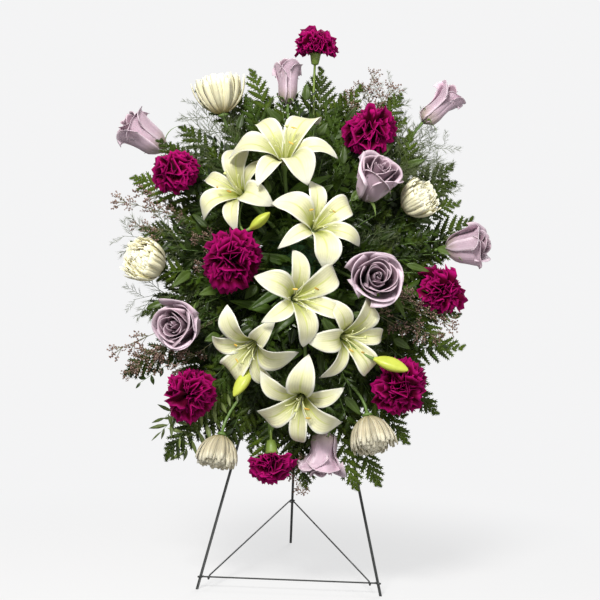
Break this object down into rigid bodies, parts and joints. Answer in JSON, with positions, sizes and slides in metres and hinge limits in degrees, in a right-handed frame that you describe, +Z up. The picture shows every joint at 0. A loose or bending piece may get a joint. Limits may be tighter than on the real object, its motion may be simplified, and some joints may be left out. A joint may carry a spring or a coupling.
{
  "type": "standing funeral spray on a wire easel",
  "caption": "Standing funeral spray of mixed cut flowers and fern, held in a caged foam block tied to a folding three-legged wire easel.",
  "frame": {"origin": "on the floor, under the middle of the whole arrangement's bounding box", "axes": "+Z up, +X to the viewer's right, +Y away from the viewer, so the flowers face -Y"},
  "size_m": [0.6551, 0.5789, 0.9791],
  "materials": {
    "painted_wire": "satin",
    "cage_plastic": "satin",
    "foam": "matte",
    "tie_nylon": "satin",
    "fern": "satin",
    "filler": "matte",
    "lily_petal": "satin",
    "rose_petal": "matte",
    "carnation_petal": "matte",
    "mum_petal": "matte"
  },
  "bodies": {
    "stand": {"cage_cover": "cage_plastic", "cage_tray": "cage_plastic", "carnation_bottom": "carnation_petal", "carnation_left": "carnation_petal", "carnation_lower_left": "carnation_petal", "carnation_lower_right": "carnation_petal", "carnation_right": "carnation_petal", "carnation_top": "carnation_petal", "carnation_upper_left": "carnation_petal", "carnation_upper_right": "carnation_petal", "fern_bottom": "fern", "fern_bottom_left": "fern", "fern_bottom_right": "fern", "fern_left": "fern", "fern_lower_left": "fern", "fern_lower_right": "fern", "fern_right": "fern", "fern_top": "fern", "fern_top_left": "fern", "fern_top_right": "fern", "fern_under_left": "fern", "fern_under_right": "fern", "fern_upper_left": "fern", "fern_upper_right": "fern", "foam_block": "foam", "front_crossbar": "painted_wire", "front_leg_left": "painted_wire", "front_leg_right": "painted_wire", "lily_bottom": "lily_petal", "lily_centre": "lily_petal", "lily_lower_left": "lily_petal", "lily_lower_right": "lily_petal", "lily_top": "lily_petal", "lily_upper_left": "lily_petal", "lily_upper_right": "lily_petal", "limonium_left": "filler", "limonium_lower_left": "filler", "limonium_top": "filler", "mum_bottom_left": "mum_petal", "mum_bottom_right": "mum_petal", "mum_left": "mum_petal", "mum_right": "mum_petal", "mum_top": "mum_petal", "pivot_pin": "painted_wire", "plumosus_upper_right": "filler", "rose_bottom": "rose_petal", "rose_centre_right": "rose_petal", "rose_left": "rose_petal", "rose_right": "rose_petal", "rose_top": "rose_petal", "rose_top_left": "rose_petal", "rose_top_right": "rose_petal", "rose_upper_right": "rose_petal", "tie_lower_left": "tie_nylon", "tie_lower_right": "tie_nylon", "tie_upper_left": "tie_nylon", "tie_upper_right": "tie_nylon"},
    "rear_leg": {"rear_leg": "painted_wire"},
    "brace": {"brace_left": "painted_wire", "brace_right": "painted_wire"}
  },
  "joints": [
    {"name": "rear_leg_fold", "type": "hinge", "parent": "stand", "child": "rear_leg", "pos_m": [0.008, 0.04319, 0.625], "axis": [-1, 0, 0], "range_deg": [0, 31]},
    {"name": "brace_fold", "type": "hinge", "parent": "stand", "child": "brace", "pos_m": [0.008, -0.10881, 0.02], "axis": [1, 0, 0], "range_deg": [0, 60]}
  ],
  "couplings": [
    {"joint": "brace_fold", "follows": "rear_leg_fold", "ratio": 1.9354}
  ]
}
